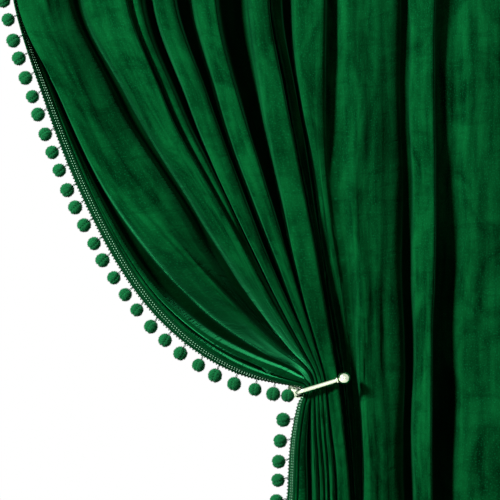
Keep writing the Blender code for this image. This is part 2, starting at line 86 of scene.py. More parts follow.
camera = put("camera", bpy.data.cameras.new("camera"))
camera.data.lens = camera.data.sensor_width * CAMERA_AWAY / VIEW_WIDE
camera.location = VIEW_MIDDLE + Vector((0, -CAMERA_AWAY, 0))
camera.rotation_euler = (math.radians(90), 0, 0)
bpy.context.scene.camera = camera
print("lens in millimetres:", round(camera.data.lens))

# %% [markdown]
# ## Light, floor and air
#
# Velvet shows its shape by contrast: pile that leans towards the light is pale and pile in a
# valley is almost black. One main light, from the left and above, makes that contrast, and painted
# shade in the velvet's colour deepens the valleys. A weak light softens it, and a third lights the
# back. The pale air gives the metal something to mirror.

# %% Light, floor and air
HEM_ABOVE_FLOOR = 0.03
FLOOR_WIDE = 8.5
AIR_LIGHT, AIR_SEEN = 0.06, 1.0  # the air looks white, in metal too, but lights the valleys little


def to_linear(hex_code):
    """An sRGB hex colour as the linear red, green, blue and alpha that Blender works in."""
    parts = [int(hex_code[i : i + 2], 16) / 255 for i in (0, 2, 4)]
    return (*(c / 12.92 if c <= 0.04045 else ((c + 0.055) / 1.055) ** 2.4 for c in parts), 1.0)


def add(tree, kind, inputs=(), out=0, **settings):
    """Adds one node and gives the output asked for, or the node itself when out is None.

    Inputs go by name or by place. One that is another node's output, or a list of them, is linked.
    """
    node = tree.nodes.new(kind)
    for name, value in settings.items():
        setattr(node, name, value)
    for name, value in (inputs if isinstance(inputs, dict) else dict(enumerate(inputs))).items():
        for item in value if isinstance(value, list) else [value]:
            if isinstance(item, bpy.types.NodeSocket):
                tree.links.new(item, node.inputs[name])
            else:
                node.inputs[name].default_value = item
    return node if out is None else node.outputs[out]


def new_material(name):
    """An empty material of this name, and its tree."""
    material = bpy.data.materials.new(name)
    material.use_nodes = True
    material.node_tree.nodes.clear()
    return material, material.node_tree


def finish_material(tree, look):
    """The last step of every material: one shader with this look, on the output."""
    shader = add(tree, "ShaderNodeBsdfPrincipled", look)
    add(tree, "ShaderNodeOutputMaterial", {"Surface": shader}, None)


def add_light(name, place, aim, wide, watts):
    lamp = bpy.data.lights.new(name, "AREA")
    lamp.shape, lamp.size, lamp.energy = "DISK", wide, watts
    light = put(name, lamp)
    light.location = place
    light.rotation_euler = (Vector(aim) - Vector(place)).to_track_quat("-Z", "Y").to_euler()


world = bpy.data.worlds.new("studio_air")
world.use_nodes = True
tree = world.node_tree
air = tree.nodes["Background"].inputs
air["Color"].default_value = to_linear("FFFFFF")
rays = add(tree, "ShaderNodeLightPath", out=None).outputs
looks = (rays["Is Camera Ray"], rays["Is Glossy Ray"])
seen = add(tree, "ShaderNodeMath", looks, operation="MAXIMUM")
limits = {"Value": seen, "To Min": AIR_LIGHT, "To Max": AIR_SEEN}
tree.links.new(add(tree, "ShaderNodeMapRange", limits), air["Strength"])
bpy.context.scene.world = world
bpy.context.scene.view_settings.view_transform = "Standard"

add_light("key", (-4.0, -3.6, 1.3), VIEW_MIDDLE, 0.8, 960)
add_light("fill", (0.6, -5.6, -0.2), VIEW_MIDDLE, 2.4, 45)
add_light("behind", (2.2, 5.0, 0.6), VIEW_MIDDLE, 2.0, 260)

floor_paint, tree = new_material("floor_matt_paint")
finish_material(tree, {"Base Color": to_linear("E9E8E4"), "Roughness": 0.8})
bpy.ops.mesh.primitive_plane_add(size=FLOOR_WIDE)
floor = bpy.context.object
floor.name = "floor"
floor.data.materials.append(floor_paint)
floor.data.transform(Matrix.Translation((0, 0, cad_box[0].z - HEM_ABOVE_FLOOR)))
floor.visible_diffuse = False  # its light would wash out the valleys

# %% [markdown]
# ## The folds
#
# A curtain's folds hang as a zigzag that changes slowly from top to hem. So the cloth is drawn
# as a set of rims: for every fold, where its left and right rim are at eleven heights, and how far
# forward they stand. Smooth curves run between those heights. The same table can then give a
# coarse solid or, as here, a fine sheet. A cloth simulation would also make folds, but not these
# folds, with their own widths and their own places.

# %% Sizes and fold tables, in millimetres
MM = 0.001
DROP = 2130
CLOTH_THICK = 1.5
FOLD_DEPTH = 56  # from the front of a fold to the back of a valley
NECK_DEPTH = 70  # the same, where the swept folds are packed into the hook
NECK_REACH = 200
HEM_RISE = 235  # how much higher the hem is at the leading edge, which takes the longer way down
NARROWEST_VALLEY = 2.5
LEAST_STEP = 0.3  # from a rim to the floor beside it
BORDER_LEAN, BORDER_FLOOR = 0.5, 0.5  # of the small valley beside the border, as for a fold
SLOPE_STEP = 0.01  # of the edge's length, to either side, for reading which way it runs
BORDER_WIDE = 18
BORDER_BEND = 2.5
BRAID_WIDE = 16
STEM_X = -10.5
HOOK_DOWN = 1345
ARM_SLOPE = math.radians(17)

# The leading edge from the top to the hook, then from the hook to the hem. x and down are in
# millimetres. turn is the border's, in degrees: 0 faces forward, and plus turns its inner side to
# the back. Rises are 0 at the back of the folds and 1 at the front. The border fold is the small
# fold next to the border: from and to are how far its two rims are from the border's bend.
EDGE_COLUMNS = ("x", "down", "turn", "rise", "from", "to", "valley_rise", "from_rise", "to_rise")
EDGE_ABOVE = (
    (-584, 0, 75, 0.52, 0.7, 1.4, 0.16, 0.12, 0.06),
    (-578, 330, 75, 0.52, 0.7, 1.4, 0.16, 0.12, 0.06),
    (-538, 620, 70, 0.52, 0.7, 1.4, 0.16, 0.12, 0.06),
    (-481, 805, 40, 0.55, 0.8, 2.0, 0.30, 0.26, 0.18),
    (-407, 990, 10, 0.58, 1.0, 6.0, 0.50, 0.50, 0.42),
    (-299, 1175, 0, 0.64, 5.0, 10, 0.40, 0.66, 0.60),
    (-198, 1270, -30, 0.60, 11, 16, 0.20, 0.66, 0.62),
    (-109, 1315, -55, 0.57, 14, 21, 0.20, 0.76, 0.74),
    (-53, 1328, -74, 0.56, 8.0, 19, 0.25, 0.88, 0.90),
    (-18, 1334, -80, 0.56, 4.5, 12, 0.30, 0.94, 0.95),
    (-4, 1336.5, -80, 0.55, 3.8, 8.0, 0.30, 0.95, 0.95),
    (1.5, 1343, -80, 0.55, 3.6, 6.6, 0.30, 0.95, 0.95),
)
EDGE_BELOW = (
    (1.5, 1343, -80, 0.55, 3.6, 6.6, 0.30, 0.95, 0.95),
    (0, 1352, -80, 0.55, 3.6, 7.0, 0.30, 0.94, 0.94),
    (-9, 1370, -68, 0.55, 3.6, 8.5, 0.36, 0.92, 0.92),
    (-24, 1455, -52, 0.60, 4.0, 12, 0.45, 0.88, 0.88),
    (-29, 1547, -45, 0.60, 4.0, 17, 0.50, 0.85, 0.85),
    (-85, DROP - HEM_RISE, -20, 0.60, 8.0, 28, 0.50, 0.85, 0.85),
)

# Where each fold's two rims are, at these distances below the top edge. The neck is where the
# hook crosses the cloth, and has no one height, because the hook's arm slopes.
LEVELS = (0, 620, 805, 990, 1175, 1270, 1310, "neck", 1365, 1547, DROP)
NECK = LEVELS.index("neck")

# How far forward the valley before each fold and its two rims are, from 0 at the back to 1 at
# the front: near the top, half way, above the neck, at the neck and at the hem. The valley's
# floor has a middle, lean, from 0 at the left of its gap to 1 at the right, and a width, floor,
# as a share of the gap. rounds are how widely the two rims are rounded.
TOP, MIDDLE, LOWER, AT_NECK, HEM = range(5)
RISE_AT_LEVEL = (TOP, TOP, TOP, MIDDLE, LOWER, LOWER, LOWER, AT_NECK, AT_NECK, HEM, HEM)
Fold = namedtuple("Fold", "left_x right_x valley left right lean floor rounds")
FOLDS = {
    "first fold": Fold(
        (-562, -532, -448, -352, -203, -72, -1, 15, 14, 17, -24),
        (-536, -490, -416, -316, -151, -46, 5, 17, 17, 22.5, -9),
        (0, 0, 0, 0, 0.25), (1, 0.92, 0.3, 0.95, 0.95),
        (0.88, 0.94, 1, 1, 1), 0.5, 0.5, (9, 26),
    ),
    "long slope": Fold(
        (-524, -472, -396, -284, -138, -40, 7, 18, 18.2, 25, -6),
        (-487, -437, -353, -240, -119, -32, 9.5, 19.2, 19.5, 28, -3),
        (0.86, 0.9, 0.92, 0.9, 0.9), (0.76, 0.82, 0.5, 0.8, 0.8),
        (0.5, 0.62, 0.12, 0.7, 0.7), 0.5, 0.4, (18, 10),
    ),
    "broad fold": Fold(
        (-447, -404, -318, -203, -86, -22, 12, 20.5, 21, 31, 0),
        (-371, -329, -260, -166, -61, -8, 16.5, 23.5, 25, 35.5, 14),
        (0, 0.04, 0, 0, 0.3), (0.62, 0.62, 0.62, 1, 1),
        (1, 1, 1, 1, 1), 0.5, 0.3, (18, 4),
    ),
    "ledge": Fold(
        (-360, -315, -246, -152, -57, -5, 17.2, 24, 25.5, 36, 15),
        (-345, -302, -236, -146, -55, -3, 18, 24.5, 26, 37, 17),
        (0.46, 0.56, 0.86, 0.86, 0.86), (0.78, 0.72, 0.62, 0.62, 0.62),
        (0.76, 0.62, 0.4, 0.4, 0.5), 0.3, 0.5, (7, 7),
    ),
    "third fold": Fold(
        (-314, -277, -213, -137, -51, 1, 21.5, 28, 29, 39.5, 22),
        (-274, -240, -180, -109, -33, 10, 25.5, 31, 33, 43, 34),
        (0, 0.04, 0.08, 0, 0.4), (0.94, 1, 1, 1, 1),
        (1, 1, 1, 1, 1), 0.5, 0.5, (5, 9),
    ),
    "fourth fold": Fold(
        (-230, -198, -156, -91, -24, 14, 29, 34.5, 36.5, 47.5, 44),
        (-194, -163, -121, -67, -7, 22, 33, 37.5, 40.5, 55, 58),
        (0, 0, 0, 0, 0.4), (0.82, 0.92, 0.95, 1, 1),
        (1, 1, 1, 1, 1), 0.35, 0.5, (5, 5),
    ),
    "last swept fold": Fold(
        (-112, -92, -74, -38, 3, 28, 37, 41, 44, 61.5, 66),
        (-86, -66, -33, -1, 35, 54, 61, 63, 69, 82, 95),
        (0, 0, 0, 0, 0.4), (1, 1, 1, 1, 1),
        (1, 1, 1, 1, 1), 0.4, 0.6, (5, 4),
    ),
    "inner flap": Fold(
        (-74, -57, -24, 9, 40, 58, 65, 68, 73, 86, 100),
        (-60, -45, -15, 17, 44, 61, 69, 72, 77, 90, 104),
        (0, 0, 0, 0, 0), (0.56, 0.34, 0.12, 0.1, 0.1),
        (0.58, 0.32, 0.1, 0.08, 0.08), 0.4, 0.5, (8, 8),
    ),
    "fading fold": Fold(
        (-24, -18, -2, 27, 53, 71, 77, 79, 84, 97, 110),
        (30, 34, 37, 43, 69, 82, 86, 88, 92, 102, 117),
        (0, 0.02, 0.05, 0.05, 0.05), (0.86, 0.58, 0.42, 0.28, 0.2),
        (0.92, 0.6, 0.48, 0.3, 0.22), 0.4, 0.5, (9, 9),
    ),
    "soft fold": Fold(
        (73, 76, 82, 92, 99, 104, 105, 105, 110, 112, 134),
        (105, 107, 107, 108, 115, 119, 119, 119, 121, 132, 152),
        (0.4, 0.45, 0.4, 0.3, 0.22), (0.84, 0.86, 0.86, 0.86, 0.86),
        (0.84, 0.82, 0.82, 0.82, 0.82), 0.4, 0.5, (24, 24),
    ),
    "low plane": Fold(
        (148, 148, 148, 148, 148, 148, 148, 148, 150, 156, 171),
        (172, 172, 173, 174, 176, 177, 178, 178, 178, 178, 187),
        (0.73, 0.72, 0.74, 0.74, 0.74), (0.62, 0.6, 0.62, 0.64, 0.64),
        (0.52, 0.48, 0.5, 0.52, 0.52), 0.5, 0.4, (22, 22),
    ),
    "flat fold": Fold(
        (191, 196, 199, 203, 206, 206, 206, 206, 206, 205, 209),
        (235, 240, 240, 238, 237, 236, 236, 236, 235, 232, 239),
        (0.2, 0.08, 0, 0, 0), (0.66, 0.66, 0.66, 0.66, 0.66),
        (1, 1, 1, 1, 1), 0.6, 0.5, (4, 5),
    ),
    "wide fold": Fold(
        (296, 300, 300, 297, 292, 290, 289, 289, 289, 289, 290),
        (378, 383, 384, 385, 385, 387, 387, 387, 387, 387, 391),
        (0.52, 0.44, 0.16, 0.06, 0.06), (0.84, 0.76, 0.62, 0.6, 0.6),
        (0.76, 0.76, 0.74, 0.74, 0.74), 0.42, 0.7, (7, 26),
    ),
    "side fold": Fold(
        (430, 433, 435, 437, 439, 439, 439, 439, 439, 437, 437),
        (478, 483, 485, 487, 487, 487, 487, 487, 487, 485, 485),
        (0.05, 0.1, 0.1, 0.1, 0.05), (0.92, 0.92, 0.92, 0.92, 0.92),
        (0.98, 0.98, 0.98, 0.98, 0.98), 0.5, 0.5, (10, 10),
    ),
    "side hem": Fold(
        (526, 529, 530, 531, 532, 532, 532, 532, 532, 531, 531),
        (578, 583, 584, 585, 586, 586, 586, 586, 586, 585, 585),
        (0.05, 0.08, 0.08, 0.08, 0.05), (0.8, 0.8, 0.8, 0.8, 0.8),
        (0.58, 0.58, 0.58, 0.58, 0.58), 0.5, 0.5, (8, 4),
    ),
}
NAMES = list(FOLDS)
FIRST_STRAIGHT = "fading fold"

print("folds:", len(FOLDS) + 1)

# %% [markdown]
# The folds become one line across the cloth at a time. Each line is a zigzag of corners: the
# border, then a valley floor and two rims for every fold. A curve that never overshoots its
# points carries each corner down the cloth, because a fold that bulged between two heights
# would cut into its neighbour.

# %% One line across the cloth


def through(knots, values, at):
    """A smooth curve through values at knots that never overshoots them, read at one place."""
    last = len(knots) - 1
    steps = [knots[i + 1] - knots[i] for i in range(last)]
    slopes = [(values[i + 1] - values[i]) / steps[i] for i in range(last)]
    tangents = [slopes[0]]
    for before, after in zip(slopes, slopes[1:]):
        same_way = before * after > 0
        tangents.append(2 * before * after / (before + after) if same_way else 0.0)
    tangents.append(slopes[-1])
    i = min(max(sum(knot <= at for knot in knots) - 1, 0), last - 1)
    t = (at - knots[i]) / steps[i]
    start = values[i] * (1 + 2 * t) * (1 - t) ** 2 + tangents[i] * steps[i] * t * (1 - t) ** 2
    end = values[i + 1] * t * t * (3 - 2 * t) + tangents[i + 1] * steps[i] * t * t * (t - 1)
    return start + end


def route_knots(points):
    """How far along the route each of its (x, down) points is."""
    knots = [0.0]
    for (x0, down0), (x1, down1) in zip(points, points[1:]):
        knots.append(knots[-1] + math.hypot(x1 - x0, down1 - down0))
    return knots


def arm_down(x):
    """How far below the top edge the hook's arm is, over this x."""
    return HOOK_DOWN - math.tan(ARM_SLOPE) * (x - STEM_X)


def depth_y(rise, depth):
    return depth * (0.5 - rise)


def depth_at(down, swept):
    if not swept:
        return FOLD_DEPTH
    near_neck = math.exp(-(((down - HOOK_DOWN) / NECK_REACH) ** 2))
    return FOLD_DEPTH + (NECK_DEPTH - FOLD_DEPTH) * near_neck


def hem_down(x):
    """The hem is level under the straight folds and rises to the leading edge."""
    swept_from = FOLDS[FIRST_STRAIGHT].left_x[-1]
    share = (x - swept_from) / (EDGE_BELOW[-1][0] - swept_from)
    return DROP - HEM_RISE * min(max(share, 0.0), 1.0)


def half(values, above):
    """The part of a list that goes with LEVELS which is above the neck, or below it."""
    return values[: NECK + 1] if above else values[NECK:]


def rim_point(name, xs, rises, above, share):
    """A point on one rim of a fold, above or below the neck, this share of the way down."""
    swept = NAMES.index(name) < NAMES.index(FIRST_STRAIGHT)
    downs = list(LEVELS)
    downs[NECK] = arm_down(xs[NECK] if swept else FOLDS["inner flap"].right_x[NECK])
    downs[-1] = hem_down(xs[-1])
    route = half(list(zip(xs, downs)), above)
    knots = route_knots(route)
    at = share * knots[-1]
    x, down = (through(knots, column, at) for column in zip(*route))
    rise = through(knots, half([rises[column] for column in RISE_AT_LEVEL], above), at)
    return Vector((x, depth_y(rise, depth_at(down, swept)), -down))


def valley_floor(before, after, lean, share, y):
    """The two corners of the floor of the valley between two rims."""
    gap = after - before
    hollow = min(max((y - max(before.y, after.y)) / NARROWEST_VALLEY, 0.0), 1.0)
    along = Vector((gap.x, 0, gap.z))
    wide = max(share * along.length, NARROWEST_VALLEY * hollow)
    way = along.normalized() if gap.x > NARROWEST_VALLEY else Vector((1, 0, 0))
    left = before + way * max(lean * along.length - wide / 2, LEAST_STEP)
    left.y = y
    return left, left + way * wide


def border_points(above, share):
    """The border, from the leading edge to its bend, and the small fold next to it."""
    table = EDGE_ABOVE if above else EDGE_BELOW
    knots = route_knots([row[:2] for row in table])
    at = share * knots[-1]

    def read(column, place):
        return through(knots, [row[EDGE_COLUMNS.index(column)] for row in table], place)

    here = {column: read(column, at) for column in EDGE_COLUMNS}
    step = SLOPE_STEP * knots[-1]
    near, far = max(at - step, 0.0), min(at + step, knots[-1])
    run = Vector((read("x", far) - read("x", near), 0, read("down", far) - read("down", near)))
    inward = Vector((run.z, 0, run.x)).normalized()
    turn = math.radians(here["turn"])
    across = inward * math.cos(turn) + Vector((0, math.sin(turn), 0))
    depth = depth_at(here["down"], True)
    edge = Vector((here["x"], depth_y(here["rise"], depth), -here["down"]))
    bend = edge + across * BORDER_WIDE
    after_bend = bend + inward * BORDER_BEND
    rims = []
    for side in ("from", "to"):
        rim = after_bend + inward * here[side]
        rim.y = depth_y(here[side + "_rise"], depth)
        rims.append(rim)
    floor_y = depth_y(here["valley_rise"], depth)
    floor_corners = valley_floor(after_bend, rims[0], BORDER_LEAN, BORDER_FLOOR, floor_y)
    return [edge, edge + across * BRAID_WIDE, bend, after_bend, *floor_corners, *rims]


def share_to_level(above, share):
    """The place in LEVELS that a share of the way down a straight fold comes to."""
    downs = [arm_down(0) if level == "neck" else level for level in LEVELS]
    part = half(downs, above)
    down = part[0] + share * (part[-1] - part[0])
    for i, (upper, lower) in enumerate(zip(part, part[1:])):
        if down <= lower:
            return i + (down - upper) / (lower - upper)
    return len(part) - 1


def valley_points(before, after, name, above, share):
    """The floor of the valley before this fold."""
    fold = FOLDS[name]
    rises = half([fold.valley[column] for column in RISE_AT_LEVEL], above)
    rise = through(range(len(rises)), rises, share_to_level(above, share))
    swept = NAMES.index(name) <= NAMES.index(FIRST_STRAIGHT)
    y = depth_y(rise, depth_at(-before.z, swept))
    return valley_floor(before, after, fold.lean, fold.floor, y)


def corner_row(above, share):
    """All the corners of one line across the cloth, in millimetres."""
    row = border_points(above, share)
    for name, fold in FOLDS.items():
        left = rim_point(name, fold.left_x, fold.left, above, share)
        right = rim_point(name, fold.right_x, fold.right, above, share)
        sway(name, left, right)
        row += valley_points(row[-1], left, name, above, share)
        row += [left, right]
    return row


# %% [markdown]
# No hanging fold is ruler-straight. Each rim sways a few millimetres sideways and in depth on
# its own slow wave, less where the folds are packed tight. The waves come from a seeded random
# generator, so the curtain is the same every time.

# %% Sway
SWAY_ACROSS = 2.6
SWAY_DEEP = 3.2
SWAY_GAP_SHARE = 0.12  # of a fold's own width, the most it sways
SWAY_SHORTEST, SWAY_LONGEST = 260, 620

sway_random = random.Random(11)
sway_waves = {
    name: [
        (sway_random.uniform(SWAY_SHORTEST, SWAY_LONGEST), sway_random.uniform(0, math.tau))
        for _ in range(4)
    ]
    for name in NAMES
}


def sway(name, left, right):
    """Moves a fold's two rims a little, in place."""
    most = min((right.x - left.x) * SWAY_GAP_SHARE, SWAY_ACROSS) / SWAY_ACROSS
    for rim, (across, deep) in zip((left, right), (sway_waves[name][:2], sway_waves[name][2:])):
        down = -rim.z
        rim.x += SWAY_ACROSS * most * math.sin(math.tau * down / across[0] + across[1])
        rim.y += SWAY_DEEP * most * math.sin(math.tau * down / deep[0] + deep[1])


# %% [markdown]
# Cloth has no hard corners. Each corner of the zigzag is rounded with a short curve of its own
# size: a crisp fold keeps a tight one, a soft fold a wide one. Rows are close together at the
# hook, where the cloth changes fast, and further apart towards the top and the hem.

# %% Rounded rows
ROUND_BORDER = (1, 1, 1.6, 1.6, 6, 6, 3, 4)  # its eight corners
ROUND_VALLEY = 14
CORNER_SHARE = 0.46  # of the shorter neighbour, the most that a corner may round off
POINTS_BETWEEN = ((14, 0), (30, 1), (56, 2), (math.inf, 4))  # for parts shorter than this
NEAREST_ROWS, WIDEST_ROWS, ROWS_SPREAD = 4.6, 20.0, 0.037

roundness = list(ROUND_BORDER)
for fold in FOLDS.values():
    roundness += [ROUND_VALLEY, ROUND_VALLEY, *fold.rounds]


def row_shares(length):
    """Shares of a way, 0 at the neck, close together there and wider apart further off."""
    places = [0.0]
    while places[-1] < length:
        places.append(places[-1] + min(NEAREST_ROWS + ROWS_SPREAD * places[-1], WIDEST_ROWS))
    return [place / places[-1] for place in places]


def extra_points(rows):
    """How many points each straight part needs between its ends."""
    found = []
    for i in range(len(rows[0]) - 1):
        longest = max((row[i + 1] - row[i]).length for row in rows)
        found.append(next(count for limit, count in POINTS_BETWEEN if longest < limit))
    return found


def rounded(corners, extras):
    """One row with every corner rounded, always with the same number of points."""
    points = [corners[0]]
    leave = corners[0]
    for i in range(1, len(corners)):
        corner = corners[i]
        back = corners[i - 1] - corner
        enter, after = corner, corner
        if i < len(corners) - 1:
            on = corners[i + 1] - corner
            trim = min(roundness[i], CORNER_SHARE * back.length, CORNER_SHARE * on.length)
            enter = corner + back.normalized() * trim
            after = corner + on.normalized() * trim
        count = extras[i - 1]
        points += [leave.lerp(enter, k / (count + 1)) for k in range(1, count + 1)]
        points.append(enter)
        if i < len(corners) - 1:
            points += [(enter + corner * 2 + after) / 4, after]
        leave = after
    return points


shares_up = row_shares(HOOK_DOWN)
shares_down = row_shares(DROP - HOOK_DOWN)
corner_rows = [corner_row(True, 1 - share) for share in reversed(shares_up)]
neck_row = len(corner_rows) - 1
corner_rows += [corner_row(False, share) for share in shares_down[1:]]
extras = extra_points(corner_rows)
cloth_rows = [rounded(row, extras) for row in corner_rows]
ROWS, COLUMNS = len(cloth_rows), len(cloth_rows[0])
print("rows:", ROWS, "points in a row:", COLUMNS)

# %% [markdown]
# Between the folds the face of the velvet is not flat either. It carries shallow dimples from
# being packed and handled, and near the hook the pull runs out in fine creases. Both are pushed
# in along the cloth's own face, measured on the flat cloth, so that they follow every fold.

# %% Dimples and creases
DIMPLE_WIDE, DIMPLE_TALL, DIMPLE_HIGH = 42, 130, 1.5
DIMPLE_SEED, FINER_SEED = 3.1, 9.7
FINER_ACROSS, FINER_DOWN, FINER_SHARE = 2.3, 2.1, 0.5  # a second layer of smaller dimples
DIMPLES_LOST = 0.7  # of their height, where the creases take over
CREASE_APART, CREASE_HIGH, CREASE_REACH = 13, 2.0, 190
WANDER_WIDE, WANDER_TALL, WANDER_SEED = 60, 90, 17.0  # a crease isn't straight
FADE_WIDE, FADE_TALL, FADE_SEED = 25, 70, 5.0  # and comes and goes
HOOK_MIDDLE = Vector((30, 0, -1335))
STILL_BORDER = 40  # of flat cloth beside the leading edge, where the braid keeps it smooth


def running_lengths(line):
    """How far along a line of points each of them is."""
    return [0.0, *accumulate((after - before).length for before, after in zip(line, line[1:]))]


def column_places(rows):
    """How far from the leading edge each column is on the flat cloth."""
    upper = rows[: neck_row // 2]
    widths = [[(row[c] - row[c - 1]).length for row in upper] for c in range(1, COLUMNS)]
    return [0.0, *accumulate(sum(column) / len(column) for column in widths)]


def face_normals(rows):
    normals = []
    for r, row in enumerate(rows):
        upper, lower = rows[max(r - 1, 0)], rows[min(r + 1, len(rows) - 1)]
        line = []
        for c in range(len(row)):
            across = row[min(c + 1, len(row) - 1)] - row[max(c - 1, 0)]
            line.append((lower[c] - upper[c]).cross(across).normalized())
        normals.append(line)
    return normals


def crease_height(point, u, v):
    """How far the face stands out here, for a point u across and v down the flat cloth."""
    calm = min(max((u - STILL_BORDER) / STILL_BORDER, 0.0), 1.0)
    dimple = noise.noise((u / DIMPLE_WIDE, v / DIMPLE_TALL, DIMPLE_SEED))
    finer = (u / DIMPLE_WIDE * FINER_ACROSS, v / DIMPLE_TALL * FINER_DOWN, FINER_SEED)
    dimple += FINER_SHARE * noise.noise(finer)
    away = math.hypot(point.x - HOOK_MIDDLE.x, point.z - HOOK_MIDDLE.z)
    pull = math.exp(-((away / CREASE_REACH) ** 2))
    wander = noise.noise((u / WANDER_WIDE, v / WANDER_TALL, WANDER_SEED))
    fade = noise.noise((u / FADE_WIDE, v / FADE_TALL, FADE_SEED))
    crease = math.sin(math.tau * (u / CREASE_APART + wander)) * fade
    return calm * (DIMPLE_HIGH * dimple * (1 - DIMPLES_LOST * pull) + CREASE_HIGH * crease * pull)


flat_u = column_places(cloth_rows)
flat_v = [running_lengths([row[c] for row in cloth_rows]) for c in range(COLUMNS)]
normals = face_normals(cloth_rows)
for r, row in enumerate(cloth_rows):
    for c, point in enumerate(row):
        row[c] = point + normals[r][c] * crease_height(point, flat_u[c], flat_v[c][r])
FLAT_WIDE = flat_u[-1] * MM
FLAT_LONG = sum(places[-1] for places in flat_v) / COLUMNS * MM
print("flat cloth in metres:", round(FLAT_WIDE, 3), "by", round(FLAT_LONG, 3))

# %% [markdown]
# The sheet is one grid of faces on those points. A Solidify modifier gives it the thickness of
# velvet. Its UV map is the flat cloth in metres, so patterns stay true to size on every fold.

# %% The velvet panel


def cloth_grid(name, rows, us, vs):
    """A grid of points as a mesh object in metres, with a map of the flat cloth."""
    mesh = bpy.data.meshes.new(name)
    wide = len(rows[0])
    faces = [
        (r * wide + c, (r + 1) * wide + c, (r + 1) * wide + c + 1, r * wide + c + 1)
        for r in range(len(rows) - 1)
        for c in range(wide - 1)
    ]
    mesh.from_pydata([point * MM for row in rows for point in row], [], faces)
    layer = mesh.uv_layers.new(name="cloth")
    for loop in mesh.loops:
        r, c = divmod(loop.vertex_index, wide)
        layer.data[loop.index].uv = (us[c] * MM, -vs[c][r] * MM)
    mesh.shade_smooth()
    return put(name, mesh)


def settle(piece):
    """Turns what the modifiers make into the piece's own plain mesh."""
    graph = bpy.context.evaluated_depsgraph_get()
    mesh = bpy.data.meshes.new_from_object(piece.evaluated_get(graph))
    piece.modifiers.clear()
    piece.data = mesh
    mesh.name = piece.name
    return piece


panel = cloth_grid("velvet_panel_cloth", cloth_rows, flat_u, flat_v)
thickness = panel.modifiers.new("thickness", "SOLIDIFY")
thickness.thickness = CLOTH_THICK * MM
thickness.offset = 0.0
settle(panel)
print("triangles in the panel:", sum(len(face.vertices) - 2 for face in panel.data.polygons))

# %% [markdown]
# ## Velvet
#
# Crushed polyester velvet is a short dense pile on a knitted ground. Its pile is dark when you
# look straight down into it and pale where it leans away, so the rims of the folds glow. That
# glow is the sheen of the shader. Handling leaves cloudy patches, and folding in the packet
# leaves faint lines across the cloth. Those are noises on the flat cloth, with their sizes in
# metres, and they change both the colour and the lie of the pile.

# %% Velvet material
PATCH = 0.060  # cloudy patches of pile that leans one way
STREAK = 0.016  # upright streaks inside a patch
LINE_TALL = 0.022  # faint lines across, from the packet
PILE = 0.0022  # real pile is finer: drawn this coarse so that it shows
PATCH_RANGE, STREAK_RANGE = (0.36, 0.66), (0.30, 0.70)  # of each noise, the part that shows
LINE_RANGE, GLINT_RANGE = (0.52, 0.74), (0.58, 0.78)
GLINT_SHARE, LINE_SHARE = 0.2, 0.3
VALLEY_SHADE_STARTS, VALLEY_SHADE_FULL, VALLEY_SHADE_SHARE = -9.0, 24.0, 0.85  # painted shade, darker towards the back of the folds
HOOK_SHADE_MIDDLE = Vector((-100, 0, -1270))  # middle of a painted shade, where the folds are drawn together above the hook
HOOK_SHADE_NEAR, HOOK_SHADE_FAR, HOOK_SHADE_SHARE = 50.0, 190.0, 0.5


def stretched_noise(tree, flat, across, along, detail, rough=0.5, twist=0.0):
    """A noise whose grains are this wide and this long on the flat cloth, in metres."""
    place = add(tree, "ShaderNodeMapping", {"Vector": flat, "Scale": (1 / across, 1 / along, 1)})
    inputs = {"Vector": place, "Scale": 1.0, "Detail": detail, "Roughness": rough}
    inputs["Distortion"] = twist
    return add(tree, "ShaderNodeTexNoise", inputs, noise_dimensions="2D")


def weighed(tree, *pairs):
    """The sum of some values, each times its own weight."""
    total = None
    for pair in pairs:
        part = add(tree, "ShaderNodeMath", pair, operation="MULTIPLY")
        total = add(tree, "ShaderNodeMath", (total, part), operation="ADD") if total else part
    return total


def layered(tree, ground, *layers):
    """A ground colour with others laid over it in turn, each where its own value is high."""
    color = to_linear(ground)
    for share, over in layers:
        inputs = {"Factor": share, 6: color, 7: to_linear(over)}
        color = add(tree, "ShaderNodeMix", inputs, 2, data_type="RGBA")
    return color


def finish_fabric(tree, color, height, relief, rough, shine, sheen, invert=False):
    """The last step of every fabric: its colour, its relief, how matt it is, and its sheen.

    relief is how deep in metres and how strong, and sheen is how much, how soft and its tint.
    """
    (deep, strong), (amount, softness, tint) = relief, sheen
    bump = {"Height": height, "Distance": deep, "Strength": strong}
    look = {"Base Color": color, "Normal": add(tree, "ShaderNodeBump", bump, invert=invert)}
    look.update({"Roughness": rough, "Specular IOR Level": shine, "Sheen Weight": amount})
    look.update({"Sheen Roughness": softness, "Sheen Tint": to_linear(tint)})
    finish_material(tree, look)


velvet, tree = new_material("velvet_crushed_pile")
flat = add(tree, "ShaderNodeUVMap", uv_map="cloth")
patches = stretched_noise(tree, flat, PATCH, PATCH * 1.7, 4, 0.55, 0.6)
patches = add(tree, "ShaderNodeMapRange", (patches, *PATCH_RANGE))
streaks = stretched_noise(tree, flat, STREAK, STREAK * 9, 3)
streaks = add(tree, "ShaderNodeMapRange", (streaks, *STREAK_RANGE))
lines = stretched_noise(tree, flat, PATCH, LINE_TALL, 3, 0.6, 0.3)
lines = add(tree, "ShaderNodeMapRange", (lines, *LINE_RANGE))
pile = stretched_noise(tree, flat, PILE, PILE * 1.4, 2)
glints = add(tree, "ShaderNodeMapRange", (pile, *GLINT_RANGE))
lean = weighed(tree, (patches, 0.5), (streaks, 0.5))

# Painted shade: the colour is darkened towards the back of the folds, from each point's depth.
place = add(tree, "ShaderNodeTexCoord", out="Object")
back = add(tree, "ShaderNodeSeparateXYZ", (place,), "Y")
painted_valley_shade = add(tree, "ShaderNodeMapRange", (back, VALLEY_SHADE_STARTS * MM, VALLEY_SHADE_FULL * MM))
# Painted shade: the colour is darkened near a point above the hook, where the folds are drawn
# together.
away = (place, HOOK_SHADE_MIDDLE * MM)
away = add(tree, "ShaderNodeVectorMath", away, "Value", operation="DISTANCE")
painted_hook_shade = add(tree, "ShaderNodeMapRange", (away, HOOK_SHADE_FAR * MM, HOOK_SHADE_NEAR * MM))
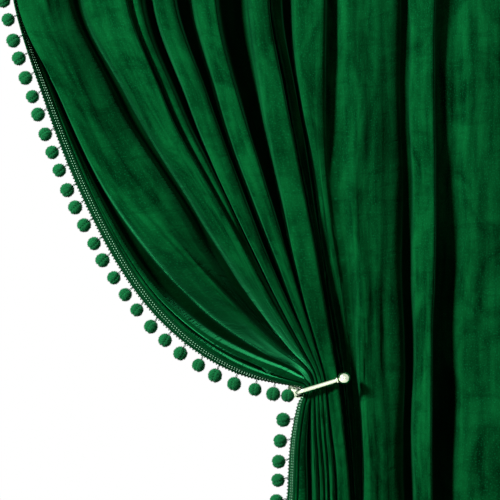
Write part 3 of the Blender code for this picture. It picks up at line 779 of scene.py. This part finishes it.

# %% [markdown]
# The colour starts as the deep green of pile seen end on. The other tones are laid over it: the
# pale of pile that leans, the glints of single tufts, the lines, painted shade at the back of the
# folds, and painted shade where the folds are drawn together above the hook.

# %% Velvet colour and lie
color = layered(
    tree,
    "001606",
    (lean, "04451E"),
    (weighed(tree, (glints, GLINT_SHARE)), "0A8046"),
    (weighed(tree, (lines, LINE_SHARE)), "001405"),
    # painted shade at the back of the folds
    (weighed(tree, (painted_valley_shade, VALLEY_SHADE_SHARE)), "000701"),
    # painted shade where the folds are drawn together above the hook
    (weighed(tree, (painted_hook_shade, HOOK_SHADE_SHARE)), "000701"),
)
height = (weighed(tree, (pile, 0.5), (lean, 1.2)), weighed(tree, (lines, 0.9)))
height = add(tree, "ShaderNodeMath", height, operation="SUBTRACT")
finish_fabric(tree, color, height, (0.0012, 0.55), 0.62, 0.0, (0.42, 0.4, "2BB56C"))
panel.data.materials.clear()
panel.data.materials.append(velvet)

# %% [markdown]
# ## The braid
#
# The braid is a narrow woven tape, a little thicker in the middle, sewn flat on the border. It is
# a ribbon of faces on the same points as the border, so it follows the velvet exactly.

# %% Braid tape
BRAID_THICK = 2.0
BRAID_OVERHANG = 1.5
GAP = 0.3
LIFT = CLOTH_THICK / 2 + GAP  # from the middle of the cloth to what lies on it
BRAID_PROFILE = (  # across from the outer side, and height off the velvet
    *((-1.5, 0.0), (-1.2, 1.2), (1.5, 1.7), (4.6, 1.3), (8.0, 2.0)),
    *((11.5, 1.4), (14.8, 1.7), (16.0, 1.1), (16.2, 0.0)),
)


def braid_frame(row, line):
    """The border's outer point, its way inwards and its way out of the face, at one row."""
    across = (row[1] - row[0]).normalized()
    face = line[0] - across * line[0].dot(across)
    return row[0], across, face.normalized()


frames = [braid_frame(row, line) for row, line in zip(cloth_rows, normals)]
rings = []
for start, across, face in frames:
    rings.append([start + across * a + face * (LIFT + h) for a, h in BRAID_PROFILE])
braid_mesh = bmesh.new()
layer = braid_mesh.loops.layers.uv.new("cloth")
lengths = running_lengths([start for start, *_ in frames])
grid = [[braid_mesh.verts.new(point * MM) for point in ring] for ring in rings]
for r in range(len(grid) - 1):
    for c in range(len(BRAID_PROFILE)):
        d = (c + 1) % len(BRAID_PROFILE)
        made = braid_mesh.faces.new((grid[r][c], grid[r + 1][c], grid[r + 1][d], grid[r][d]))
        places = [(c, r), (c, r + 1), (d, r + 1), (d, r)]
        for loop, (column, row) in zip(made.loops, places):
            loop[layer].uv = (BRAID_PROFILE[column][0] * MM, -lengths[row] * MM)
braid_mesh.faces.new(grid[0])
braid_mesh.faces.new(grid[-1])
bmesh.ops.recalc_face_normals(braid_mesh, faces=braid_mesh.faces)


def mesh_piece(name, mesh, *materials):
    """A finished bmesh as an object at the origin."""
    data = bpy.data.meshes.new(name)
    mesh.to_mesh(data)
    mesh.free()
    data.shade_smooth()
    for material in materials:
        data.materials.append(material)
    return put(name, data)


braid = mesh_piece("braid_tape", braid_mesh)
print("braid in millimetres:", round(lengths[-1]))

# %% [markdown]
# The tape is woven of matt yarn, so it has a fine rib across it and hardly any shine. The rib is
# a wave along the tape, crossed by a noise that breaks it into single yarns.

# %% Braid material
RIB = 0.0026  # from one rib of the tape to the next
RIB_SLANT = math.radians(62)
woven, tree = new_material("braid_woven_polyester")
flat = add(tree, "ShaderNodeUVMap", uv_map="cloth")
place = add(tree, "ShaderNodeMapping", {"Vector": flat, "Rotation": (0, 0, RIB_SLANT)})
ribs = {"Vector": place, "Scale": 1 / RIB / 3.2, "Distortion": 1.4}
ribs = add(tree, "ShaderNodeTexWave", ribs, "Fac")
yarns = stretched_noise(tree, flat, 0.0014, 0.0022, 2)
weave = weighed(tree, (ribs, 0.7), (yarns, 0.5))
color = layered(tree, "000F04", (weave, "02381A"))
finish_fabric(tree, color, weave, (0.0008, 0.8), 0.85, 0.03, (0.05, 0.5, "3FB978"))
braid.data.materials.append(woven)

# %% [markdown]
# ## Stitches and picots
#
# Two rows of pale stitches run down the tape, and its outer side has a chain of small loops,
# called picots. Both repeat hundreds of times along a line, so Geometry Nodes lays them: it cuts
# the line into equal steps and puts one small bead of thread on each.

# %% Beads along a line
STITCH_SIZES = (5.0, 1.9, 1.3)  # how far apart, how long and how thick
STITCH_ROWS = ((6.4, 1.75), (11.0, 1.75))  # how far across the tape, how high off the velvet
PICOT_SIZES = (6.4, 3.4, 2.4)
PICOT_ROW = (-2.6, 0.9)


def new_group(name, sizes, counts=()):
    """A Geometry Nodes tree with these sizes and counts, and a material, as its inputs."""
    group = bpy.data.node_groups.new(name, "GeometryNodeTree")
    kinds = {"Geometry": "Geometry", **dict.fromkeys(sizes, "Float")}
    kinds.update({**dict.fromkeys(counts, "Int"), "Material": "Material"})
    for label, kind in kinds.items():
        group.interface.new_socket(label, in_out="INPUT", socket_type="NodeSocket" + kind)
    group.interface.new_socket("Geometry", in_out="OUTPUT", socket_type="NodeSocketGeometry")
    return group, add(group, "NodeGroupInput", out=None).outputs


def finish_group(group, laid, material):
    """The last steps of every tree: real faces, smooth, with their material."""
    real = add(group, "GeometryNodeRealizeInstances", (laid,))
    smooth = add(group, "GeometryNodeSetShadeSmooth", {"Geometry": real})
    finished = {"Geometry": smooth, "Material": material}
    finished = add(group, "GeometryNodeSetMaterial", finished)
    add(group, "NodeGroupOutput", {"Geometry": finished}, None)


def grow(piece, group, values):
    """Runs the group on the piece with these values and keeps the plain mesh that it makes."""
    modifier = piece.modifiers.new(group.name, "NODES")
    modifier.node_group = group
    for item in group.interface.items_tree:
        if item.in_out == "INPUT" and item.name in values:
            modifier[item.identifier] = values[item.name]
    return settle(piece)


beads, given = new_group("beads_along_a_line", ("Apart", "Long", "Thick"))
line = add(beads, "GeometryNodeMeshToCurve", {"Mesh": given["Geometry"]})
steps = {"Curve": line, "Length": given["Apart"]}
along = add(beads, "GeometryNodeInputTangent")
inputs = {
    "Points": add(beads, "GeometryNodeResampleCurve", steps, mode="LENGTH"),
    "Instance": add(beads, "GeometryNodeMeshUVSphere", {"Segments": 6, "Rings": 4, "Radius": 0.5}),
    "Rotation": add(beads, "FunctionNodeAlignRotationToVector", {"Vector": along}, axis="Z"),
    "Scale": add(beads, "ShaderNodeCombineXYZ", (given["Thick"], given["Thick"], given["Long"])),
}
finish_group(beads, add(beads, "GeometryNodeInstanceOnPoints", inputs), given["Material"])


def edge_line(name, across_by, high):
    """A line of edges down the tape, this far across it and this high off the velvet."""
    lift = LIFT + high
    points = [(start + across * across_by + face * lift) * MM for start, across, face in frames]
    mesh = bpy.data.meshes.new(name)
    mesh.from_pydata(points, [(i, i + 1) for i in range(len(points) - 1)], [])
    return put(name, mesh)


def thread_material(name, shade, light):
    """Spun polyester thread: matt, with a little light on its twist."""
    material, tree = new_material(name)
    place = add(tree, "ShaderNodeTexCoord", out="Object")
    grain = add(tree, "ShaderNodeTexNoise", {"Vector": place, "Scale": 900.0, "Detail": 2.0})
    color = layered(tree, shade, (grain, light))
    finish_fabric(tree, color, grain, (0.0004, 1.0), 0.8, 0.05, (0.12, 0.5, "6FD79E"))
    return material


stitch_thread = thread_material("stitch_thread_polyester", "4FA373", "C4F0D0")
picot_yarn = thread_material("picot_yarn_polyester", "022812", "0B5A30")


def bead_row(name, place, sizes, material):
    values = {label: size * MM for label, size in zip(("Apart", "Long", "Thick"), sizes)}
    return grow(edge_line(name, *place), beads, {**values, "Material": material})


stitches = [
    bead_row(f"stitch_row_{i}", place, STITCH_SIZES, stitch_thread)
    for i, place in enumerate(STITCH_ROWS)
]
picots = bead_row("picot_edge", PICOT_ROW, PICOT_SIZES, picot_yarn)

# %% [markdown]
# ## Pom-poms
#
# A yarn pom-pom is many short ends of yarn, tied round the middle and trimmed to a ball. The tie
# leaves a parting across it. Each hangs from the braid on two threads. One pom-pom is made in
# the tree and put on every point; each point carries its own turn, so they are not all alike.

# %% Where the pom-poms hang
POM_ROUND = 25
STALK_LONG = 7
POM_PITCH = 36.5
POM_UNEVEN = 2.5
UNEVEN_TURN = 2.3
POM_SAG = 0.3
POMS_END_ABOVE_NECK = 30
LAST_PITCH = 26.5
POMS_START_BELOW_NECK = 56
POM_HEM_MARGIN = 12
MOST_SPIN = 24  # degrees that a pom-pom is turned about its threads
SMALLEST_POM, LARGEST_POM = 0.98, 1.06

overhang = [
    start - across * BRAID_OVERHANG + face * (LIFT + BRAID_THICK / 2)
    for start, across, face in frames
]


def pom_places(line, neck):
    """Where the pom-poms hang along the braid's outer side, none of them at the hook."""
    lengths = running_lengths(line)
    places = [lengths[neck] - POMS_END_ABOVE_NECK]
    at = places[0] - LAST_PITCH
    while at > POM_PITCH / 2:
        places.append(at)
        at -= POM_PITCH + POM_UNEVEN * math.sin(UNEVEN_TURN * len(places))
    at = lengths[neck] + POMS_START_BELOW_NECK
    while at < lengths[-1] - POM_HEM_MARGIN:
        places.append(at)
        at += POM_PITCH + POM_UNEVEN * math.sin(UNEVEN_TURN * len(places))
    found = []
    for at in places:
        i = max(i for i, length in enumerate(lengths[:-1]) if length <= at)
        run = line[i + 1] - line[i]
        start = line[i] + run * ((at - lengths[i]) / (lengths[i + 1] - lengths[i]))
        outward = Vector((run.z, 0, -run.x)).normalized()
        found.append((start, (outward + Vector((0, 0, -POM_SAG))).normalized()))
    return found


def turn_to(way, spin):
    """The turn, as Euler angles, that points +Z along way and +Y to the back, then spins."""
    side = Vector((0, 1, 0)).cross(way).normalized()
    matrix = Matrix((side, way.cross(side), way)).transposed()
    return (matrix @ Matrix.Rotation(spin, 3, "Z")).to_euler()


pom_random = random.Random(5)
pom_list = pom_places(overhang, neck_row)


def pom_points(name):
    """One point for each pom-pom, where its threads leave the braid, with its turn and size."""
    mesh = bpy.data.meshes.new(name)
    mesh.from_pydata([start * MM for start, way in pom_list], [], [])
    turns = mesh.attributes.new("turn", "FLOAT_VECTOR", "POINT")
    for i, (start, way) in enumerate(pom_list):
        spin = math.radians(pom_random.uniform(-MOST_SPIN, MOST_SPIN))
        turns.data[i].vector = turn_to(way, spin)
    sizes = mesh.attributes.new("size", "FLOAT", "POINT")
    for i in range(len(pom_list)):
        sizes.data[i].value = pom_random.uniform(SMALLEST_POM, LARGEST_POM)
    return put(name, mesh)


print("pom-poms:", len(pom_list))

# %% One pom-pom, repeated
FLUFF_LONG, FLUFF_THICK, FLUFF_ENDS = 1.8, 0.5, 420
PARTING_WIDE, PARTING_DEEP = 1.5, 1.5
LUMP_HIGH, LUMP_SIZE = 0.45, 3.0

LUMP_REACH = 2.4  # the noise is mostly near its middle, so it is stretched
STRAY = 0.5  # how far a yarn end leans from straight out


def hang(group, given, one, sized):
    """The same thing on every point, with the turn, and if wanted the size, that it carries."""
    turn = {"Name": "turn"}
    turn = add(group, "GeometryNodeInputNamedAttribute", turn, data_type="FLOAT_VECTOR")
    turn = add(group, "FunctionNodeEulerToRotation", (turn,))
    inputs = {"Points": given["Geometry"], "Instance": one, "Rotation": turn}
    if sized:
        inputs["Scale"] = add(group, "GeometryNodeInputNamedAttribute", {"Name": "size"})
    hung = add(group, "GeometryNodeInstanceOnPoints", inputs)
    finish_group(group, hung, given["Material"])


sizes = ("Round", "Thread Long", "Fluff Long", "Fluff Thick", "Lump")
poms, given = new_group("pom_poms", sizes, ("Fluff Ends", "Seed"))
radius = weighed(poms, (given["Round"], 0.5))
core = add(poms, "ShaderNodeMath", (radius, given["Lump"]), operation="SUBTRACT")
core = add(poms, "GeometryNodeMeshIcoSphere", {"Radius": core, "Subdivisions": 4})
place = add(poms, "GeometryNodeInputPosition")
lumps = add(poms, "ShaderNodeTexNoise", {"Vector": place, "Scale": 1 / (LUMP_SIZE * MM)})
lumps = add(poms, "ShaderNodeMath", (lumps, 0.5), operation="SUBTRACT")
lumps = weighed(poms, (lumps, weighed(poms, (given["Lump"], LUMP_REACH))))
beside = add(poms, "ShaderNodeSeparateXYZ", (place,), "X")
beside = add(poms, "ShaderNodeMath", (beside, PARTING_WIDE * MM), operation="DIVIDE")
parting = weighed(poms, (weighed(poms, (beside, beside)), -1.0))
parting = add(poms, "ShaderNodeMath", (parting,), operation="EXPONENT")
parting = weighed(poms, (parting, PARTING_DEEP * MM))
stand = add(poms, "ShaderNodeMath", (lumps, parting), operation="SUBTRACT")
offset = {0: add(poms, "GeometryNodeInputNormal"), "Scale": stand}
offset = add(poms, "ShaderNodeVectorMath", offset, operation="SCALE")
lumpy = add(poms, "GeometryNodeSetPosition", {"Geometry": core, "Offset": offset})

# %% [markdown]
# Short cones stand on that ball for the cut ends of the yarn. The ball and its ends are moved
# out by the length of the threads, so that the point they hang from is where the threads start.

# %% The yarn ends
area = weighed(poms, (weighed(poms, (radius, radius)), 4 * math.pi))
density = add(poms, "ShaderNodeMath", (given["Fluff Ends"], area), operation="DIVIDE")
inputs = {"Mesh": lumpy, "Density": density, "Seed": given["Seed"]}
roots = add(poms, "GeometryNodeDistributePointsOnFaces", inputs, None).outputs
inputs = {"Vertices": 3, "Side Segments": 1, "Radius Top": 0.0}
inputs.update({"Radius Bottom": given["Fluff Thick"], "Depth": given["Fluff Long"]})
yarn_end = add(poms, "GeometryNodeMeshCone", inputs, fill_type="NONE")
ranges = {0: (-STRAY,) * 3, 1: (STRAY,) * 3, "Seed": given["Seed"]}
tilt = add(poms, "FunctionNodeRandomValue", ranges, data_type="FLOAT_VECTOR")
astray = add(poms, "ShaderNodeVectorMath", (roots["Normal"], tilt), operation="ADD")
turned = add(poms, "FunctionNodeAlignRotationToVector", {"Vector": astray}, axis="Z")
inputs = {"Points": roots["Points"], "Instance": yarn_end, "Rotation": turned}
fluff = add(poms, "GeometryNodeInstanceOnPoints", inputs)
whole = add(poms, "GeometryNodeJoinGeometry", ([lumpy, fluff],))
away = add(poms, "ShaderNodeMath", (radius, given["Thread Long"]), operation="ADD")
away = add(poms, "ShaderNodeCombineXYZ", {2: away})
one = add(poms, "GeometryNodeTransform", {"Geometry": whole, "Translation": away})
hang(poms, given, one, sized=True)

# %% [markdown]
# The yarn is soft acrylic, cut at the surface, so it is matt and slightly paler than the velvet.
# Painted shade darkens the gaps between the ends.

# %% Pom-pom yarn
YARN_END = 0.0016
yarn, tree = new_material("pom_yarn_cut_acrylic")
place = add(tree, "ShaderNodeTexCoord", out="Object")
gaps = add(tree, "ShaderNodeTexVoronoi", {"Vector": place, "Scale": 1 / YARN_END})
gaps = add(tree, "ShaderNodeMapRange", (gaps, 0.15, 0.85))
clouds = add(tree, "ShaderNodeTexNoise", {"Vector": place, "Scale": 150.0, "Detail": 3.0})
# painted shade in the gaps between the yarn ends, mixed with random clouds
gap_shade_and_tone = weighed(tree, (gaps, 0.5), (clouds, 0.5))
color = layered(tree, "055A2C", (gap_shade_and_tone, "01280F"))
finish_fabric(tree, color, gaps, (0.0008, 0.6), 0.95, 0.1, (0.5, 0.6, "2FA368"), invert=True)

values = {
    label: value * MM
    for label, value in zip(sizes, (POM_ROUND, STALK_LONG, FLUFF_LONG, FLUFF_THICK, LUMP_HIGH))
}
values.update({"Fluff Ends": FLUFF_ENDS, "Seed": 3, "Material": yarn})
pom_balls = grow(pom_points("pom_balls"), poms, values)
print("triangles in the pom-poms:", sum(len(f.vertices) - 2 for f in pom_balls.data.polygons))

# %% [markdown]
# Each pom-pom hangs on two threads twisted loosely round each other. A spiral curve with a round
# section makes one thread, and the second is the same spiral half a turn on.

# %% Hanging threads
THREAD_THICK, THREAD_TWIST, THREAD_APART = 1.4, 0.75, 1.2
THREAD_IN_POM, THREAD_IN_BRAID = 2.0, 2.5

threads, given = new_group("hanging_threads", ("Long", "Thick", "Apart", "Turns"))
inputs = {"Resolution": 12, "Rotations": given["Turns"], "Height": given["Long"]}
inputs.update({"Start Radius": given["Apart"], "End Radius": given["Apart"]})
coil = add(threads, "GeometryNodeCurveSpiral", inputs)
section = {"Resolution": 5, "Radius": weighed(threads, (given["Thick"], 0.5))}
section = add(threads, "GeometryNodeCurvePrimitiveCircle", section, mode="RADIUS")
inputs = {"Curve": coil, "Profile Curve": section, "Fill Caps": True}
thread = add(threads, "GeometryNodeCurveToMesh", inputs)
half_turn = {"Geometry": thread, "Rotation": (0, 0, math.pi)}
other = add(threads, "GeometryNodeTransform", half_turn)
pair = add(threads, "GeometryNodeJoinGeometry", ([thread, other],))
sunk = {"Geometry": pair, "Translation": (0, 0, -THREAD_IN_BRAID * MM)}
hang(threads, given, add(threads, "GeometryNodeTransform", sunk), sized=False)

values = {
    "Long": (STALK_LONG + THREAD_IN_POM + THREAD_IN_BRAID) * MM,
    "Thick": THREAD_THICK * MM,
    "Apart": THREAD_APART * MM,
    "Turns": THREAD_TWIST,
    "Material": thread_material("hanging_thread_polyester", "01120A", "0A4526"),
}
pom_threads = grow(pom_points("pom_threads"), threads, values)

# %% [markdown]
# ## The holdback
#
# The hook is turned and polished metal: a wall plate, a bent arm, a collar and a ball. The shapes
# that are round about one line are turned, as on a lathe: a profile is swept round it. The arm is
# a round section carried along its path.

# %% Turned and bent metal
ARM_Y = -46.5
ARM_TO_BALL = 87
BEND_RADIUS = 12
ROD_ROUND = 9
BALL_ROUND, BALL_FLAT, BALL_STEPS = 23, 3.0, 24
COLLAR_ROUND, COLLAR_LONG, COLLAR_LIP = 12.5, 3.5, 0.8
WALL_Y = 100
PLATE_ROUND, PLATE_THICK = 36, 6
LATHE_SIDES = 48
BEND_STEPS = 16
SHARP = math.radians(35)

arm_way = Vector((math.cos(ARM_SLOPE), 0, math.sin(ARM_SLOPE)))
corner = Vector((STEM_X, ARM_Y, -HOOK_DOWN))


def ring(mesh, middle, side, up, radius):
    """A round section of the mesh about this middle, or one point where it has no width."""
    if radius == 0:
        return [mesh.verts.new(middle * MM)]
    angles = [math.tau * k / LATHE_SIDES for k in range(LATHE_SIDES)]
    spokes = [side * math.cos(a) + up * math.sin(a) for a in angles]
    return [mesh.verts.new((middle + spoke * radius) * MM) for spoke in spokes]


def metal_piece(name, mesh, rings):
    """The finished piece whose skin joins these rings in turn."""
    for near, far in zip(rings, rings[1:]):
        for k in range(LATHE_SIDES):
            after = (k + 1) % LATHE_SIDES
            corners = [near[k % len(near)], near[after % len(near)]]
            corners += [far[after % len(far)], far[k % len(far)]]
            mesh.faces.new(list(dict.fromkeys(corners)))
    for end in (rings[0], rings[-1]):
        if len(end) > 1:
            mesh.faces.new(end)
    bmesh.ops.recalc_face_normals(mesh, faces=mesh.faces)
    piece = mesh_piece(name, mesh, polished)
    piece.data.set_sharp_from_angle(angle=SHARP)
    return piece


def turned_shape(name, start, way, profile):
    """A closed shape turned about a line: profile rows are how far along it and how wide."""
    side = way.cross(Vector((0, 0.3, 1))).normalized()
    mesh = bmesh.new()
    up = side.cross(way)
    rings = [ring(mesh, start + way * along, side, up, wide) for along, wide in profile]
    return metal_piece(name, mesh, rings)


def ball_profile(radius, flat, steps):
    """A ball's profile, starting from a small flat of this radius."""
    first = math.asin(flat / radius)
    turns = [first + (math.pi - first) * i / steps for i in range(steps + 1)]
    rows = [(radius - radius * math.cos(turn), radius * math.sin(turn)) for turn in turns]
    rows[-1] = (2 * radius, 0)
    return [(rows[0][0], 0), *rows]


# %% [markdown]
# The metal is pale polished steel with a thin clear lacquer of age. Its colour is tinted a little
# warm and green: a painted reflection of the green velvet it mirrors. Fine hairlines from
# polishing change the roughness and, a very little, the bump.

# %% Polished metal
HAIRLINE = 0.0005
polished, tree = new_material("holdback_polished_steel")
place = add(tree, "ShaderNodeTexCoord", out="Object")
long_way = {"Vector": place, "Scale": (0.06 / HAIRLINE, 1 / HAIRLINE, 1 / HAIRLINE)}
place = add(tree, "ShaderNodeMapping", long_way)
hairs = add(tree, "ShaderNodeTexNoise", {"Vector": place, "Scale": 1.0, "Detail": 2.0})
rough = (weighed(tree, (hairs, 0.16)), 0.1)
look = {
    # painted reflection: the steel's colour is tinted warm and green like the velvet it mirrors
    "Base Color": to_linear("D2E0C4"),
    "Metallic": 1.0,
    "Roughness": add(tree, "ShaderNodeMath", rough, operation="ADD"),
    "Normal": add(tree, "ShaderNodeBump", {"Height": hairs, "Distance": 0.0001, "Strength": 0.12}),
}
finish_material(tree, look)

# %% The ball, the collar, the plate and the arm
ball_middle = corner + arm_way * ARM_TO_BALL
ball_start = ball_middle - arm_way * (BALL_ROUND / 2)
ball_rows = ball_profile(BALL_ROUND / 2, BALL_FLAT, BALL_STEPS)
ball = turned_shape("holdback_ball_turned", ball_start, arm_way, ball_rows)

wide, lip = COLLAR_ROUND / 2, COLLAR_LIP
long = COLLAR_LONG - GAP
collar_rows = [(0, 0), (0, wide - lip), (lip * 0.3, wide - lip * 0.3), (lip, wide)]
collar_rows += [(long - along, radius) for along, radius in reversed(collar_rows)]
collar_start = ball_start - arm_way * COLLAR_LONG
collar = turned_shape("holdback_collar_turned", collar_start, arm_way, collar_rows)

backward = Vector((0, 1, 0))
plate_front = Vector((STEM_X, WALL_Y - PLATE_THICK, -HOOK_DOWN))
wide = PLATE_ROUND / 2
plate_rows = [(0, 0), (0, 9.5), (0.9, 11), (1.6, 12), (1.6, wide - 3.5), (2.2, wide - 1.8)]
plate_rows += [(3.6, wide - 0.4), (5.2, wide), (PLATE_THICK, wide - 0.2), (PLATE_THICK, 0)]
plate = turned_shape("holdback_plate_turned", plate_front, backward, plate_rows)

path = [Vector((STEM_X, WALL_Y - PLATE_THICK - GAP, -HOOK_DOWN))]
ways = [-backward]
bend_middle = corner + backward * BEND_RADIUS + arm_way * BEND_RADIUS
for step in range(BEND_STEPS + 1):
    turn = math.pi / 2 * step / BEND_STEPS
    spoke = arm_way * math.cos(turn) + backward * math.sin(turn)
    path.append(bend_middle - spoke * BEND_RADIUS)
    ways.append(arm_way * math.sin(turn) - backward * math.cos(turn))
path.append(corner + arm_way * (ARM_TO_BALL - BALL_ROUND / 2 - COLLAR_LONG - GAP))
ways.append(arm_way)
rod_mesh = bmesh.new()
rod_rings = []
for point, way in zip(path, ways):
    side = way.cross(Vector((math.sin(ARM_SLOPE), 0, -math.cos(ARM_SLOPE)))).normalized()
    rod_rings.append(ring(rod_mesh, point, side, side.cross(way), ROD_ROUND / 2))
rod = metal_piece("holdback_arm_bent", rod_mesh, rod_rings)

# %% [markdown]
# ## On the model's body
#
# Every piece rides on the model's one body, and the model's plain parts that they stand for are
# hidden. The size of the panel's flat cut is kept as flat.

# %% On the model's body
trim = [braid, *stitches, picots, pom_balls, pom_threads]
for piece in (panel, *trim, ball, collar, plate, rod):
    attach(piece, "root")
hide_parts("velvet_panel")
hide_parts("pompom_trim")
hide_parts("holdback_ball")
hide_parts("holdback_collar")
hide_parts("holdback_plate")
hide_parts("holdback_rod")
flat = (FLAT_WIDE, FLAT_LONG)
